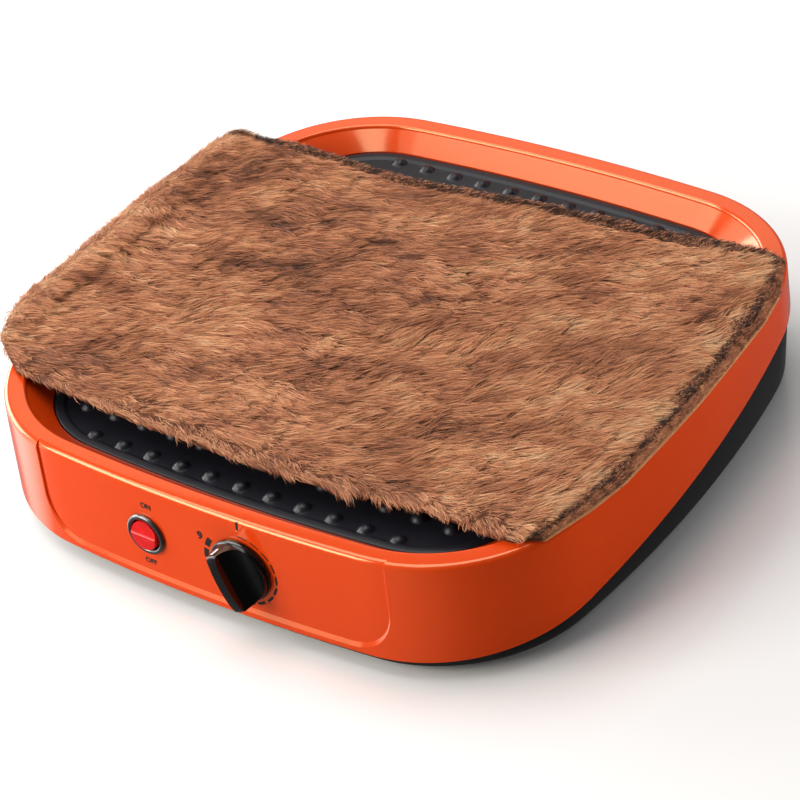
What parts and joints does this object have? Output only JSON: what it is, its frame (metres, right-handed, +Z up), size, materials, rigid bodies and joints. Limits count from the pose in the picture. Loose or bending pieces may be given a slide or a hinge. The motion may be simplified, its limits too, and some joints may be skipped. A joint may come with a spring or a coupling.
{
  "type": "electric foot warmer",
  "caption": "low square foot warmer: studded black heating plate in an orange moulded shell, rocker switch and dial on the front, lift-off fur cover",
  "frame": {"origin": "bottom centre of the whole part's box, under the feet", "axes": "+Z up, -Y towards the user and the control panel, +X to the user's right"},
  "size_m": [0.3783, 0.362, 0.0743],
  "materials": {
    "orange_plastic": "smooth satin-gloss orange-red moulding",
    "black_plastic": "black moulding, light sheen",
    "plate_coating": "black satin coated plate",
    "seal_rubber": "dark red silicone",
    "foil": "plain foil",
    "element_sleeve": "red silicone sleeve",
    "felt": "pressed felt",
    "steel": "zinc plated",
    "brass": "plain",
    "ceramic": "unglazed steatite",
    "knob_gloss": "high gloss black",
    "bezel_gloss": "gloss dark grey",
    "rocker_red": "clear red, glossy",
    "lamp_glass": "neon lamp glass",
    "rubber": "black rubber",
    "white_nylon": "natural nylon",
    "brown_wire": "wire sleeve",
    "blue_wire": "wire sleeve",
    "fur": "long brown pile, short speckled hem"
  },
  "bodies": {
    "housing": {"base_screw_1": "steel", "base_screw_2": "steel", "base_screw_3": "steel", "base_screw_4": "steel", "base_screw_5": "steel", "base_screw_6": "steel", "base_tray": "black_plastic", "cord_gland": "rubber", "cutout_clip": "steel", "cutout_lead": "brown_wire", "element_lead": "brown_wire", "foot_plate": "plate_coating", "heat_spreader_foil": "foil", "heating_element": "element_sleeve", "insulation_felt": "felt", "lamp_lead": "blue_wire", "live_lead": "brown_wire", "plate_screw_1": "steel", "plate_screw_2": "steel", "plate_screw_3": "steel", "plate_screw_4": "steel", "plate_seal": "seal_rubber", "reflector_pan": "steel", "return_lead": "blue_wire", "rubber_foot_1": "rubber", "rubber_foot_2": "rubber", "rubber_foot_3": "rubber", "rubber_foot_4": "rubber", "switch_blade_1": "brass", "switch_blade_2": "brass", "switch_blade_3": "brass", "switch_body": "bezel_gloss", "switch_lamp": "lamp_glass", "switched_lead": "brown_wire", "terminal_block": "white_nylon", "thermal_cutout": "ceramic", "thermostat_body": "ceramic", "thermostat_bush": "brass", "thermostat_nut": "steel", "thermostat_tab_1": "brass", "thermostat_tab_2": "brass", "top_shell": "orange_plastic"},
    "knob": {"control_knob": "knob_gloss", "thermostat_shaft": "steel"},
    "rocker": {"switch_rocker": "rocker_red"},
    "cover": {"fur_cover": "fur"}
  },
  "joints": [
    {"name": "dial_turn", "type": "hinge", "parent": "housing", "child": "knob", "pos_m": [0.03475, -0.16628, 0.0385], "axis": [-0.0199, 0.9993, -0.0307], "range_deg": [0, 320]},
    {"name": "rocker_tilt", "type": "hinge", "parent": "housing", "child": "rocker", "pos_m": [-0.02377, -0.16643, 0.03852], "axis": [0.9995, -0.0319, 0], "range_deg": [0, 14]},
    {"name": "cover_lift", "type": "slide", "parent": "housing", "child": "cover", "axis": [0, 0, 1], "range_m": [0, 0.15]}
  ]
}
